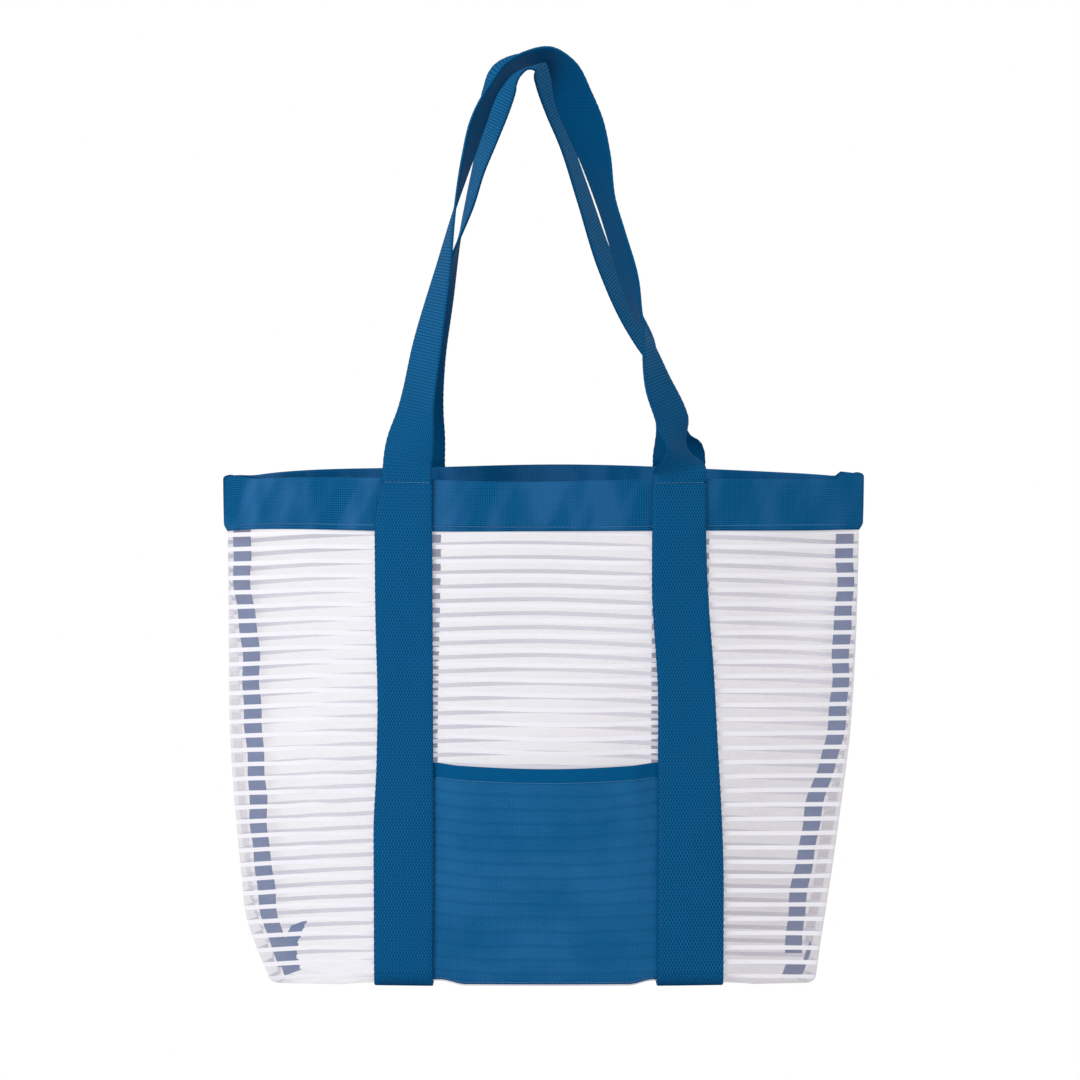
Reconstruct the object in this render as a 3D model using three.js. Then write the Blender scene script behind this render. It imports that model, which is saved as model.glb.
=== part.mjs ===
// Beach tote: a sheer striped mesh bag with a folded cloth band round its mouth, webbing straps
// that run under the base, two webbing handles, a slip pocket and taped inside seams.
// Millimetres, +Z up, front towards -Y. The origin is the middle of the footprint, on the ground.
import * as THREE from "three";

// ---- driving dimensions ----
const MOUTH_WIDTH = 416; // over the band, side seam to side seam
const MOUTH_DEPTH = 92; // mesh front to mesh back, middle of the mouth
const BAG_HEIGHT = 333; // ground to the band's folded edge
const BASE_WIDTH = 358; // mesh corner to mesh corner, just above the ground
const BASE_DEPTH = 78;
const WAIST_DEPTH = 79; // mesh front to mesh back, halfway up
const BASE_ROUND = 10; // radius where the walls turn under
const GUSSET_ROUND = 9; // radius of the upright corners
const GUSSET_FOLD = [9, 12.5]; // how far the left and right side seams fold inwards
const GUSSET_FOLD_TOP = [0.86, 0.5]; // share of the height where each fold runs out

const MESH_WALL = 1;
const BAND_HEIGHT = 33;
const BAND_WALL = 0.8;
const CORNER_DEPTH = 72; // depth across a folded corner at the base; it closes towards the mouth
const WEBBING_WIDTH = 38;
const WEBBING_WALL = 1.8;
const POCKET_HEIGHT = 148; // along the cloth, from its turn under the base to its mouth
const POCKET_TUCK = 8; // how far the pocket's sides reach under the straps
const POCKET_WALL = 0.8;
const POCKET_HEM = 12;
const POCKET_BULGE = 7; // how far the pocket's mouth stands off the mesh
const POCKET_DIP = 2.5; // how far the pocket's mouth hangs in its middle
const TAPE_WIDTH = 11.5;
const TAPE_WALL = 2;
const THREAD_WIDTH = 0.9;
const THREAD_WALL = 0.4;
const THREAD_INSET = 4; // a row of thread to the edge that it holds
const CLOTH_GAP = 0.3; // between cloth layers that touch
const TAPE_GAP = 1.2; // a seam tape to the wall that it binds
const POCKET_LIFT = 0.4; // mesh to the pocket

// Middle of each strap, left then right: front wall top and bottom, back wall bottom and top.
const STRAP_ROUTES = [
  { frontTop: -90, frontFoot: -91, backFoot: -88.5, backTop: -86.5 },
  { frontTop: 89, frontFoot: 97, backFoot: 92, backTop: 91 },
];

const HANDLE_REACH = 90; // middle of the bag to the middle of a handle's foot
const HANDLE_RISE = 274; // band to the crown of the front handle
const CROWN_DEPTH = 21.5; // each handle's middle to the bag's middle plane, at the crown

// Each handle's own route from its left foot to its right one: share of the reach, share of the
// rise, and how far the webbing has turned from facing outwards, in degrees.
const FRONT_ROUTE = [
  [-0.93, 0.15, 48],
  [-0.83, 0.32, 63],
  [-0.72, 0.49, 76],
  [-0.63, 0.64, 90],
  [-0.51, 0.79, 103],
  [-0.38, 0.9, 99],
  [-0.25, 0.97, 96],
  [-0.04, 1, 95],
  [0.12, 0.98, 104],
  [0.25, 0.89, 120],
  [0.35, 0.75, 121],
  [0.48, 0.61, 109],
  [0.63, 0.43, 102],
  [0.71, 0.35, 90],
  [0.78, 0.25, 71],
  [0.88, 0.15, 57],
];
const BACK_ROUTE = [
  [-0.91, 0.12, 42],
  [-0.85, 0.24, 56],
  [-0.74, 0.4, 71],
  [-0.62, 0.55, 90],
  [-0.53, 0.65, 104],
  [-0.43, 0.78, 115],
  [-0.33, 0.9, 127],
  [-0.22, 0.96, 119],
  [-0.06, 0.98, 112],
  [0.01, 0.93, 112],
  [0.14, 0.8, 102],
  [0.3, 0.65, 105],
  [0.45, 0.5, 107],
  [0.6, 0.39, 110],
  [0.76, 0.29, 105],
  [0.83, 0.24, 92],
  [0.88, 0.18, 75],
  [0.95, 0.08, 48],
];

// ---- values that follow ----
const STRAP_LIFT = POCKET_LIFT + POCKET_WALL + CLOTH_GAP + 0.1; // mesh to webbing
const BASE_LIFT = STRAP_LIFT + WEBBING_WALL; // the webbing holds the mesh base above the ground
const BASE_TOP = BASE_LIFT + BASE_ROUND; // the walls rise straight from here
const BAND_OUT = CLOTH_GAP + BAND_WALL; // band's outer face from the mesh's outer face
const BAND_IN = -MESH_WALL - CLOTH_GAP - BAND_WALL;
const THREAD_OUT = BAND_OUT + CLOTH_GAP;
const STRAP_ON_BAND = THREAD_OUT + THREAD_WALL + CLOTH_GAP;
const BAND_FOOT = BAG_HEIGHT - BAND_HEIGHT;
const TIP_SLOPE = MOUTH_DEPTH / (MOUTH_WIDTH / 2); // the mouth's side tips, seen from above
const TIP_REACH = Math.hypot(1, TIP_SLOPE) / TIP_SLOPE; // sideways growth of a tip per unit of offset

const ARC_STEPS = 12;
const CORNER_STEPS = 5;
const GUSSET_STEPS = 2;

const clamp01 = (x) => Math.min(1, Math.max(0, x));
const mix = (a, b, t) => a + (b - a) * t;
const smooth = (low, high, x) => {
  const t = clamp01((x - low) / (high - low));
  return t * t * (3 - 2 * t);
};

// ---- the bag's shape ----

// Sizes of the level outline at height z, at a distance `off` outside the mesh's outer face.
function outlineSizes(z, off, side) {
  const share = clamp01(Math.max(z, BASE_TOP) / BAG_HEIGHT);
  const lean = (1 - share) ** 2.4;
  const corner = mix(CORNER_DEPTH / 2, 0, share ** 0.55);
  const tip = smooth(8, 0, corner);
  const halfMouth = MOUTH_WIDTH / 2 - BAND_OUT * TIP_REACH;
  const half = mix(halfMouth, BASE_WIDTH / 2, lean);
  const waist = WAIST_DEPTH / 2;
  const above = mix(waist, MOUTH_DEPTH / 2, smooth(0.4, 1, share));
  const centre = mix(above, BASE_DEPTH / 2, smooth(0.35, 0, share));
  const foldTop = GUSSET_FOLD_TOP[side];
  const fold = GUSSET_FOLD[side] * smooth(foldTop, foldTop - 0.25, share) * smooth(-0.1, 0.12, share);
  return {
    half: half + off * mix(1, TIP_REACH, tip),
    centre: centre + off,
    corner: Math.max(0, corner + off * (1 - tip)),
    fold,
    tip,
  };
}

// Distance of the front or back wall from the middle plane, at a place across the bag.
function wallDepth(x, z, off) {
  const s = outlineSizes(z, off, x < 0 ? 0 : 1);
  return s.corner + (s.centre - s.corner) * (1 - (x / s.half) ** 2);
}

// A quarter of the outline, from the middle of the wall round the corner to the side seam, as
// [across, depth] pairs: a shallow arc, a round corner and the folded gusset.
function quarterOutline(z, off, side) {
  const s = outlineSizes(z, off, side);
  const cornerPoint = new THREE.Vector2(s.half, s.corner);
  const seam = new THREE.Vector2(s.half - s.fold, 0);
  const gusset = cornerPoint.distanceTo(seam);
  const arcEnd = s.half - GUSSET_ROUND;
  const arcDepth = s.corner + (s.centre - s.corner) * (1 - (arcEnd / s.half) ** 2);
  const turn = cornerPoint.clone().lerp(seam, 1 / (1 + gusset / GUSSET_ROUND));
  const arc = new THREE.QuadraticBezierCurve(
    new THREE.Vector2(0, s.centre),
    new THREE.Vector2(arcEnd / 2, s.centre),
    new THREE.Vector2(arcEnd, arcDepth),
  );
  const corner = new THREE.QuadraticBezierCurve(
    new THREE.Vector2(arcEnd, arcDepth),
    cornerPoint,
    turn,
  );
  const flat = new THREE.LineCurve(turn, seam);
  return [
    ...arc.getPoints(ARC_STEPS),
    ...corner.getPoints(CORNER_STEPS).slice(1),
    ...flat.getPoints(GUSSET_STEPS).slice(1),
  ];
}

// Half of the outline, left seam to right seam, on the front (facing -1) or the back (facing 1).
function halfOutline(z, off, facing) {
  const left = quarterOutline(z, off, 0).reverse();
  const right = quarterOutline(z, off, 1).slice(1);
  return [
    ...left.map((p) => new THREE.Vector3(-p.x, facing * p.y, z)),
    ...right.map((p) => new THREE.Vector3(p.x, facing * p.y, z)),
  ];
}

// The whole outline as one ring, anticlockwise from above.
function ringOutline(z, off) {
  const front = halfOutline(z, off, -1);
  const back = halfOutline(z, off, 1).reverse();
  return [...front, ...back.slice(1, -1)];
}

// Distance of a side seam from the middle of the bag.
function seamReach(z, off, side) {
  const s = outlineSizes(z, off, side);
  return s.half - s.fold;
}

// ---- solids from grids of points ----

function meshOf(points, triangles) {
  const geometry = new THREE.BufferGeometry();
  const flat = points.flatMap((p) => [p.x, p.y, p.z]);
  geometry.setAttribute("position", new THREE.Float32BufferAttribute(flat, 3));
  geometry.setIndex(volumeOf(points, triangles) < 0 ? turnedOver(triangles) : triangles.flat());
  geometry.computeVertexNormals();
  return geometry;
}

function volumeOf(points, triangles) {
  const cross = new THREE.Vector3();
  return triangles.reduce(
    (sum, [a, b, c]) => sum + points[a].dot(cross.crossVectors(points[b], points[c])) / 6,
    0,
  );
}

function turnedOver(triangles) {
  return triangles.flatMap(([a, b, c]) => [a, c, b]);
}

// A sheet with thickness: two grids of the same size, one for each face, closed round the edge.
function sheetSolid(outer, inner) {
  const rows = outer.length;
  const columns = outer[0].length;
  const points = [...outer.flat(), ...inner.flat()];
  const at = (face, i, j) => face * rows * columns + i * columns + j;
  const triangles = [];
  const quad = (a, b, c, d) => triangles.push([a, b, c], [a, c, d]);
  for (let i = 0; i < rows - 1; i++) {
    for (let j = 0; j < columns - 1; j++) {
      quad(at(0, i, j), at(0, i, j + 1), at(0, i + 1, j + 1), at(0, i + 1, j));
      quad(at(1, i, j), at(1, i + 1, j), at(1, i + 1, j + 1), at(1, i, j + 1));
    }
    quad(at(0, i, 0), at(0, i + 1, 0), at(1, i + 1, 0), at(1, i, 0));
    const last = columns - 1;
    quad(at(0, i, last), at(1, i, last), at(1, i + 1, last), at(0, i + 1, last));
  }
  for (let j = 0; j < columns - 1; j++) {
    const last = rows - 1;
    quad(at(0, 0, j), at(1, 0, j), at(1, 0, j + 1), at(0, 0, j + 1));
    quad(at(0, last, j), at(0, last, j + 1), at(1, last, j + 1), at(1, last, j));
  }
  return meshOf(points, triangles);
}

// A closed skin through rings of the same count, with each end drawn in to its ring's middle.
function ringSolid(rings) {
  const count = rings[0].length;
  const points = rings.flat();
  const triangles = [];
  for (let i = 0; i < rings.length - 1; i++) {
    for (let j = 0; j < count; j++) {
      const a = i * count + j;
      const b = i * count + ((j + 1) % count);
      triangles.push([a, b, b + count], [a, b + count, a + count]);
    }
  }
  for (const [ring, order] of [[0, -1], [rings.length - 1, 1]]) {
    const middle = rings[ring].reduce((sum, p) => sum.add(p), new THREE.Vector3());
    points.push(middle.divideScalar(count));
    const hub = points.length - 1;
    for (let j = 0; j < count; j++) {
      const a = ring * count + j;
      const b = ring * count + ((j + 1) % count);
      triangles.push(order > 0 ? [a, b, hub] : [b, a, hub]);
    }
  }
  return meshOf(points, triangles);
}

function steps(count) {
  return Array.from({ length: count + 1 }, (_, i) => i / count);
}

// ---- mesh bag ----

// The bag's skin from the middle of the base to the mouth, at an offset from its outer face.
function bagRings(off, top) {
  const round = BASE_ROUND + off;
  const flat = [0.3, 0.65].map((share) =>
    ringOutline(BASE_LIFT, -BASE_ROUND).map(
      (p) => new THREE.Vector3(p.x * share, p.y * share, BASE_LIFT - off),
    ),
  );
  const bend = steps(5).map((t) => {
    const angle = (t * Math.PI) / 2;
    const z = BASE_TOP - round * Math.cos(angle);
    return ringOutline(BASE_LIFT, round * Math.sin(angle) - BASE_ROUND).map((p) => p.setZ(z));
  });
  const wall = steps(18)
    .slice(1)
    .map((t) => ringOutline(mix(BASE_TOP, top, t), off));
  return [...flat, ...bend, ...wall];
}

function meshBag() {
  const top = BAG_HEIGHT - BAND_WALL - CLOTH_GAP * 2 + 0.1;
  return ringSolid([...bagRings(0, top), ...bagRings(-MESH_WALL, top).reverse()]);
}

// ---- band: cloth folded over the mesh's upper edge, one length for each wall ----

function band(facing) {
  const middle = (BAND_OUT + BAND_IN) / 2;
  const crown = (BAND_OUT - BAND_IN) / 2;
  const along = (radius) => [
    ...steps(3).slice(0, -1).map((t) => [middle + radius, mix(BAND_FOOT, BAG_HEIGHT - crown, t)]),
    ...steps(6).map((t) => [
      middle + radius * Math.cos(t * Math.PI),
      BAG_HEIGHT - crown + radius * Math.sin(t * Math.PI),
    ]),
    ...steps(3).slice(1).map((t) => [middle - radius, mix(BAG_HEIGHT - crown, BAND_FOOT, t)]),
  ];
  const keepToSide = (p) => p.setY(facing * Math.max(CLOTH_GAP / 2, Math.abs(p.y)));
  const face = (radius) =>
    along(radius).map(([off, z]) => halfOutline(z, off, facing).map(keepToSide));
  return sheetSolid(face(crown), face(crown - BAND_WALL));
}

// ---- straps: webbing from the band, down the front, under the base and up the back ----

// One face of the webbing, in rows down the front wall, under the base and up the back wall.
function strapFace(route, proud) {
  const step = smooth.bind(null, BAND_FOOT - 12, BAND_FOOT - 2);
  const offAt = (z) => mix(STRAP_LIFT, STRAP_ON_BAND, step(z)) + proud;
  const across = steps(4).map((t) => mix(-WEBBING_WIDTH / 2, WEBBING_WIDTH / 2, t));
  const rowAt = (middle, facing, z, depthAt) =>
    across.map((w) => new THREE.Vector3(middle + w, facing * depthAt(middle + w), z));
  const wall = (facing, top, foot) =>
    steps(16).map((t) => {
      const z = mix(BAG_HEIGHT, BASE_TOP, t);
      return rowAt(mix(top, foot, t), facing, z, (x) => wallDepth(x, z, offAt(z)));
    });
  const round = BASE_ROUND + STRAP_LIFT + proud;
  const bend = (facing, foot) =>
    steps(5)
      .slice(1)
      .map((t) => {
        const angle = (t * Math.PI) / 2;
        const off = round * Math.cos(angle) - BASE_ROUND;
        const z = BASE_TOP - round * Math.sin(angle);
        return rowAt(foot, facing, z, (x) => wallDepth(x, BASE_LIFT, off));
      });
  const { frontTop, frontFoot, backFoot, backTop } = route;
  const front = [...wall(-1, frontTop, frontFoot), ...bend(-1, frontFoot)];
  const back = [...wall(1, backTop, backFoot), ...bend(1, backFoot)];
  return [...front, ...back.reverse()];
}

function strap(route) {
  return sheetSolid(strapFace(route, WEBBING_WALL), strapFace(route, 0));
}

// ---- handles: webbing loops that turn on edge on their way up to the crown ----

function handleFoot(x, facing) {
  const lift = STRAP_ON_BAND + WEBBING_WALL / 2;
  const ahead = wallDepth(Math.abs(x) + 1, BAG_HEIGHT, lift);
  const here = wallDepth(Math.abs(x) - 1, BAG_HEIGHT, lift);
  return {
    place: new THREE.Vector3(x, -wallDepth(x, BAG_HEIGHT, lift), BAG_HEIGHT + CLOTH_GAP),
    turn: THREE.MathUtils.radToDeg(Math.atan2(here - ahead, 2)),
    facing,
  };
}

function aboveBand(p) {
  return p.setZ(Math.max(p.z, BAG_HEIGHT + CLOTH_GAP));
}

function handle(route, leftX, rightX, facing) {
  const left = handleFoot(leftX, facing);
  const right = handleFoot(rightX, facing);
  const footDepth = -left.place.y;
  const places = route.map(
    ([reach, rise]) =>
      new THREE.Vector3(
        reach * HANDLE_REACH,
        -mix(footDepth, CROWN_DEPTH, rise ** 1.5),
        BAG_HEIGHT + CLOTH_GAP + rise * HANDLE_RISE,
      ),
  );
  const path = new THREE.CatmullRomCurve3([left.place, ...places, right.place], false, "centripetal");
  const turns = [left.turn, ...route.map(([, , turn]) => turn), right.turn];
  const turning = new THREE.SplineCurve(turns.map((turn, i) => new THREE.Vector2(i, turn)));
  const outer = [];
  const inner = [];
  for (const t of steps(96)) {
    const tangent = path.getTangent(t);
    const out = new THREE.Vector3().crossVectors(tangent, new THREE.Vector3(0, 1, 0)).normalize();
    const depth = new THREE.Vector3().crossVectors(out, tangent).normalize();
    const turn = THREE.MathUtils.degToRad(turning.getPoint(t).y);
    const width = out.multiplyScalar(Math.cos(turn)).addScaledVector(depth, Math.sin(turn));
    const through = new THREE.Vector3().crossVectors(tangent, width);
    const row = (side) =>
      [-1, 0, 1].map((edge) =>
        aboveBand(
          path
            .getPoint(t)
            .addScaledVector(width, (edge * WEBBING_WIDTH) / 2)
            .addScaledVector(through, (side * WEBBING_WALL) / 2),
        ),
      );
    outer.push(row(1));
    inner.push(row(-1));
  }
  const turnRound = (grid) => grid.map((r) => r.map((p) => new THREE.Vector3(p.x, -facing * p.y, p.z)));
  return sheetSolid(turnRound(outer), turnRound(inner));
}

// ---- pocket ----

function strapMiddle(route, z) {
  return mix(route.frontFoot, route.frontTop, clamp01(z / BAG_HEIGHT));
}

// How far round the base the pocket starts, from straight down, and the length of that bend.
const POCKET_TURN = THREE.MathUtils.degToRad(20);
const POCKET_BEND = (BASE_ROUND + POCKET_LIFT) * (Math.PI / 2 - POCKET_TURN);
const POCKET_MOUTH = BASE_TOP + POCKET_HEIGHT - POCKET_BEND;

// A place on the pocket: across from 0 to 1, strap to strap, and along the cloth from its foot.
function pocketPoint(u, along, proud) {
  const up = along / POCKET_HEIGHT;
  const rise = along > POCKET_BEND ? along - POCKET_BEND : 0;
  const dip = POCKET_DIP * up * (1 - (2 * u - 1) ** 2);
  const wallZ = BASE_TOP + rise - (rise > 0 ? dip : 0);
  const tucked = WEBBING_WIDTH / 2 - POCKET_TUCK;
  const left = strapMiddle(STRAP_ROUTES[0], wallZ) + tucked;
  const right = strapMiddle(STRAP_ROUTES[1], wallZ) - tucked;
  const x = mix(left, right, u);
  const free = (POCKET_TUCK + CLOTH_GAP) / (right - left);
  const bulge = POCKET_BULGE * up ** 1.3 * Math.sin(clamp01((u - free) / (1 - 2 * free)) * Math.PI) ** 0.7;
  const off = POCKET_LIFT + bulge + proud;
  if (rise > 0) return new THREE.Vector3(x, -wallDepth(x, wallZ, off), wallZ);
  const angle = mix(POCKET_TURN, Math.PI / 2, along / POCKET_BEND);
  const round = BASE_ROUND + off;
  const depth = wallDepth(x, BASE_LIFT, round * Math.sin(angle) - BASE_ROUND);
  return new THREE.Vector3(x, -depth, BASE_TOP - round * Math.cos(angle));
}

function pocket() {
  const across = [0, 0.025, 0.05, ...steps(14).slice(1, -1), 0.95, 0.975, 1];
  const hem = POCKET_HEIGHT - POCKET_HEM;
  const rows = [
    ...steps(4).map((t) => t * POCKET_BEND),
    ...steps(14).slice(1).map((t) => mix(POCKET_BEND, hem, t)),
    hem + CLOTH_GAP,
    POCKET_HEIGHT,
  ];
  const wall = (u, along) => (along > hem && u > 0.06 && u < 0.94 ? 2 : 1) * POCKET_WALL;
  const outer = rows.map((along) => across.map((u) => pocketPoint(u, along, wall(u, along))));
  const inner = rows.map((along) => across.map((u) => pocketPoint(u, along, 0)));
  return sheetSolid(outer, inner);
}

// ---- seam bindings: tape folded over the raw edges inside the bag ----

// A flat tape that stands inwards from a side seam, edge on to the wall.
function seamTape(side) {
  const sign = side === 0 ? -1 : 1;
  const foot = BASE_TOP + TAPE_WIDTH + CLOTH_GAP;
  const top = BAND_FOOT - CLOTH_GAP;
  const tipRoom = TAPE_WALL / 2 / TIP_SLOPE;
  const rows = (y) =>
    steps(16).map((t) => {
      const z = mix(foot, top, t);
      const tip = outlineSizes(z, 0, side).tip;
      const edge = seamReach(z, -MESH_WALL, side) - TAPE_GAP - tipRoom * tip;
      return [edge, edge - TAPE_WIDTH].map((x) => new THREE.Vector3(sign * x, y, z));
    });
  return sheetSolid(rows(-TAPE_WALL / 2), rows(TAPE_WALL / 2));
}

// The tape on a boxed corner, from front to back along the foot of the gusset, leaning inwards.
function cornerTape(side) {
  const sign = side === 0 ? -1 : 1;
  const z = BASE_LIFT + BASE_ROUND / 2;
  const reach = seamReach(BASE_LIFT, -BASE_ROUND / 2, side) - MESH_WALL - TAPE_GAP * 2;
  const run = CORNER_DEPTH / 2 - BASE_ROUND;
  const lean = Math.SQRT1_2;
  const rows = (shift) =>
    [-run, 0, run].map((y) =>
      [0, TAPE_WIDTH].map(
        (w) =>
          new THREE.Vector3(sign * (reach - w * lean + shift * lean), y, z + w * lean + shift * lean),
      ),
    );
  return sheetSolid(rows(-TAPE_WALL / 2), rows(TAPE_WALL / 2));
}

// ---- rows of thread ----

function bandThread(facing) {
  const z = BAND_FOOT + THREAD_INSET;
  const face = (off) =>
    [z - THREAD_WIDTH / 2, z + THREAD_WIDTH / 2].map((height) =>
      halfOutline(height, off, facing).slice(CORNER_STEPS + GUSSET_STEPS, -CORNER_STEPS - GUSSET_STEPS),
    );
  return sheetSolid(face(THREAD_OUT + THREAD_WALL), face(THREAD_OUT));
}

// The row that ties a strap to the band's folded edge.
function strapThread(x, facing) {
  const z = BAG_HEIGHT - THREAD_INSET / 2;
  const off = STRAP_ON_BAND + WEBBING_WALL + CLOTH_GAP;
  const run = WEBBING_WIDTH / 2 - 2;
  const face = (out) =>
    [z - THREAD_WIDTH / 2, z + THREAD_WIDTH / 2].map((height) =>
      steps(4).map((t) => {
        const place = x + mix(-run, run, t);
        return new THREE.Vector3(place, facing * wallDepth(place, height, out), height);
      }),
    );
  return sheetSolid(face(off + THREAD_WALL), face(off));
}

// A row across the pocket, at a distance along the cloth from its foot.
function pocketThread(along, layers) {
  const start = (POCKET_TUCK + 1) / (2 * HANDLE_REACH - WEBBING_WIDTH + 2 * POCKET_TUCK);
  const off = layers * POCKET_WALL + CLOTH_GAP;
  const face = (out) =>
    [along - THREAD_WIDTH / 2, along + THREAD_WIDTH / 2].map((place) =>
      steps(28).map((t) => pocketPoint(mix(start, 1 - start, t), place, out)),
    );
  return sheetSolid(face(off + THREAD_WALL), face(off));
}

// ---- materials ----

function cloth(colour, roughness) {
  return new THREE.MeshStandardMaterial({ color: colour, roughness, metalness: 0 });
}

const sheerMesh = () => cloth(0xe8e6eb, 0.8);
const bandCloth = () => cloth(0x1a5f92, 0.75);
const webbing = () => cloth(0x045387, 0.7);
const pocketCloth = () => cloth(0x1b6193, 0.7);
const seamTapeCloth = () => cloth(0x2f4f8a, 0.8);
const thread = () => cloth(0x0a4a7c, 0.6);

// ---- assembly ----

const tote = new THREE.Group();

function add(name, geometry, material) {
  const mesh = new THREE.Mesh(geometry, material);
  mesh.name = name;
  tote.add(mesh);
}

add("mesh_bag", meshBag(), sheerMesh());
add("pocket", pocket(), pocketCloth());
for (const [place, facing] of [["front", -1], ["back", 1]]) {
  add(`band_${place}`, band(facing), bandCloth());
  add(`band_thread_${place}`, bandThread(facing), thread());
}
for (const [place, side] of [["left", 0], ["right", 1]]) {
  const route = STRAP_ROUTES[side];
  add(`strap_${place}`, strap(route), webbing());
  add(`strap_thread_front_${place}`, strapThread(route.frontTop, -1), thread());
  add(`strap_thread_back_${place}`, strapThread(route.backTop, 1), thread());
  add(`side_seam_tape_${place}`, seamTape(side), seamTapeCloth());
  add(`corner_seam_tape_${place}`, cornerTape(side), seamTapeCloth());
}
const [leftRoute, rightRoute] = STRAP_ROUTES;
add("handle_front", handle(FRONT_ROUTE, leftRoute.frontTop, rightRoute.frontTop, -1), webbing());
add("handle_back", handle(BACK_ROUTE, leftRoute.backTop, rightRoute.backTop, 1), webbing());
add("pocket_hem_thread", pocketThread(POCKET_HEIGHT - POCKET_HEM - 1.5, 1), thread());
add("pocket_foot_thread", pocketThread(THREAD_INSET, 1), thread());

export default tote;
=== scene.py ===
"""Beach tote of sheer striped net with a blue cloth band, webbing straps and handles, a slip
pocket and taped inside seams. Metres, +Z up, front towards -Y, the ground at z = 0."""

import math

import bmesh
import bpy
import numpy as np
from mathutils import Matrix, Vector


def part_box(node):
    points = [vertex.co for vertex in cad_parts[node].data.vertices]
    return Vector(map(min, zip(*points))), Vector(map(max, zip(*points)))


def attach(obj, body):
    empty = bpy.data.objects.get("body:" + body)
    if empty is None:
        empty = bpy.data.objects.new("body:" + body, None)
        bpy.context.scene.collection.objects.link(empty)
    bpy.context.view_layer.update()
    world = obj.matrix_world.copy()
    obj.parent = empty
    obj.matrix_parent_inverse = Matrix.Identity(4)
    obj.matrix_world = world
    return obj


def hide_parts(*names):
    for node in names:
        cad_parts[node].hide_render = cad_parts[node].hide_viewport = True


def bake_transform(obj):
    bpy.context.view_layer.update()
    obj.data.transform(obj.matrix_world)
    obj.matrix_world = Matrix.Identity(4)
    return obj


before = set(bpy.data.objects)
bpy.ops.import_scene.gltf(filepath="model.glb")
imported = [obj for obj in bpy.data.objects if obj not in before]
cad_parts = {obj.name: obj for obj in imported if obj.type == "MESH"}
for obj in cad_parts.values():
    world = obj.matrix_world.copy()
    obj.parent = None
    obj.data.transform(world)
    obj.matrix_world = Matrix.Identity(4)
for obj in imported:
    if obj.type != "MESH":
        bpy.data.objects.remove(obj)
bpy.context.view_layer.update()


# --------------------
# The net bag: polyester net with narrow bands woven dense and white, cut as a front and a back
# that are seamed at the sides and boxed at the base corners. Everything else is sewn to it.
NET_LOW, NET_HIGH = (np.array(c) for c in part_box("mesh_bag"))
BAND_LOW, BAND_HIGH = (np.array(c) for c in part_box("band_front"))
RIM = BAND_HIGH[2]  # the band's folded edge
BAND_FOOT = BAND_LOW[2]
NET_TOP = RIM - 0.0013
BASE_LIFT = NET_LOW[2]  # the net's base above the ground
BASE_ROUND = 0.007  # radius where a wall turns under
BASE_TOP = BASE_LIFT + BASE_ROUND

# A pair of values is the left half's and the right half's: the bag stands a little unevenly.
HALF_MOUTH = NET_HIGH[0]
HALF_BASE = (0.1908, 0.1766)  # as the walls run on down
TAPER = (2.44, 2.2)  # power of the curve between the two
NIP, NIP_TOP, NIP_BEND = 0.0175, 0.055, 1.9  # the left edge draws in further near its foot
FULLNESS = (0.0030, 0.0013)  # how far the walls' edges belly out half way up
FULL_AT, FULL_SPREAD = 0.17, 0.087  # the height of the fullest place, and its spread
MOUTH_DEPTH = NET_HIGH[1]  # wall to middle plane at the mouth
WAIST_DEPTH = 0.0395
BASE_DEPTH = 0.039
WAIST = (0.35, 0.4)  # shares of the height between which the wall has its waist's depth
CORNER_DEPTH = 0.036
CORNER_BEND = 0.55
CORNER_ROUND = 0.004
FOLD = (0.0052, 0.0096)  # how far the side seams fold in
FOLD_TOP = (0.86, 0.5)  # the share of the height where that ends
FOLD_FADE = (0.25, 0.19)
TIP_FROM = 0.008  # the corner's depth below which the outline runs out to a tip
TIP_GROWTH = 2.47  # sideways growth of the mouth's tips for each unit of offset
DROOP = (0.0046, 0.0038)  # how far the mouth's ends hang below its middle
DROOP_BEND = (6.0, 3.2)
SAG = 0.0031  # how far the base sags where no webbing carries it
# Each strap's middle, and how far from it the net is held wholly and not at all.
HELD = ((-0.0905, 0.024, 0.040), (0.096, 0.025, 0.041))

# The shallow folds of the standing net: how deep they are, where across the bag they lie and how
# broadly, a fold's height over 2 pi, how they lean and their phase. CREASES lie at one height.
CREASES = (0.0022, -0.142, 0.026, 0.0048, 0.636, 12.25)
CREASES_AT, CREASES_SPREAD = 0.14, 0.055
FOLDS = (
    (0.0016, -0.170, 0.020, 0.021, 0.0, 1.2),
    (0.0016, 0.152, 0.032, 0.019, -0.5, 2.0),
    (0.0022, 0.000, 0.050, 0.055, 0.0, -0.7),
)
RIPPLE = 0.0012  # depth of the broad unevenness over the whole wall


def smooth(low, high, x):
    """The soft step from 0 at low to 1 at high."""
    t = np.clip((x - low) / (high - low), 0, 1)
    return t * t * (3 - 2 * t)


def bump(x, middle, width):
    """A bell of height 1 at middle."""
    return np.exp(-(((x - middle) / width) ** 2))


def side_of(right, pair):
    """The left or the right value of a pair."""
    return np.where(right, pair[1], pair[0])


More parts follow.
